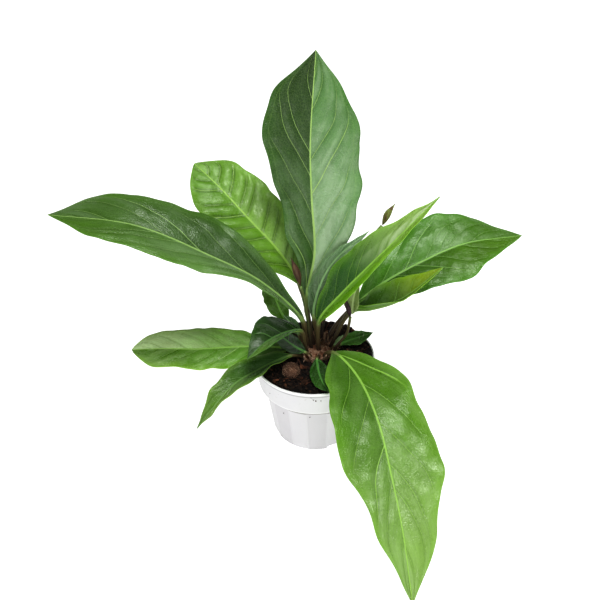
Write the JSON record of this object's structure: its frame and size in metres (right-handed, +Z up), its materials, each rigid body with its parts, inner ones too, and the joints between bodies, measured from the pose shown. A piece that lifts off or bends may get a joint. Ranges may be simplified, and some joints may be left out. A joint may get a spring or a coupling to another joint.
{
  "type": "potted foliage plant",
  "caption": "Jungle king anthurium with long glossy leaves on thin stalks from one short crown, standing in a round nursery pot filled with potting mix.",
  "frame": {"origin": "centre of the pot's base, on the floor it stands on", "axes": "+Z up; -Y the plant's front, where the lowest large leaf droops over the pot's rim; +X to the right seen from the front"},
  "size_m": [0.425, 0.3009, 0.361],
  "materials": {
    "pot_plastic": "semi-gloss, smooth, a little soiled",
    "potting_mix": "matt, crumbly and fibrous",
    "crown_husk": "dry, papery",
    "coir": "matt fibres",
    "leaf_deep": "waxy, glossy",
    "leaf_grey": "waxy, glossy",
    "leaf_mid": "waxy, glossy",
    "leaf_bright": "waxy, satin",
    "leaf_fresh": "waxy, satin",
    "spathe_pale": "satin",
    "stalk_purple": "satin",
    "stalk_green": "satin",
    "bud_bronze": "satin"
  },
  "bodies": {
    "root": {"pot": "pot_plastic", "soil": "potting_mix", "crown": "crown_husk", "leaf_upright": "leaf_deep", "leaf_back_left": "leaf_bright", "leaf_long_left": "leaf_deep", "leaf_low_left": "leaf_bright", "leaf_front_left": "leaf_deep", "leaf_cupped": "leaf_deep", "leaf_behind_cupped": "leaf_mid", "leaf_grey_left": "leaf_grey", "leaf_folded": "leaf_fresh", "leaf_narrow_back": "leaf_grey", "leaf_large_right": "leaf_mid", "leaf_cup_right": "leaf_mid", "leaf_small_right": "leaf_mid", "leaf_seedling": "leaf_grey", "leaf_front": "leaf_fresh", "leaf_front_small": "leaf_deep", "leaf_under_cupped": "leaf_deep", "flower_stalk": "stalk_purple", "bud_back_stalk": "stalk_green", "bud_middle_stalk": "bud_bronze", "spadix": "stalk_purple", "bud_back": "bud_bronze", "bud_middle": "bud_bronze", "spathe": "spathe_pale", "fibre_ball": "coir", "chip_front": "coir", "chip_left": "coir", "chip_middle": "coir"}
  },
  "joints": []
}
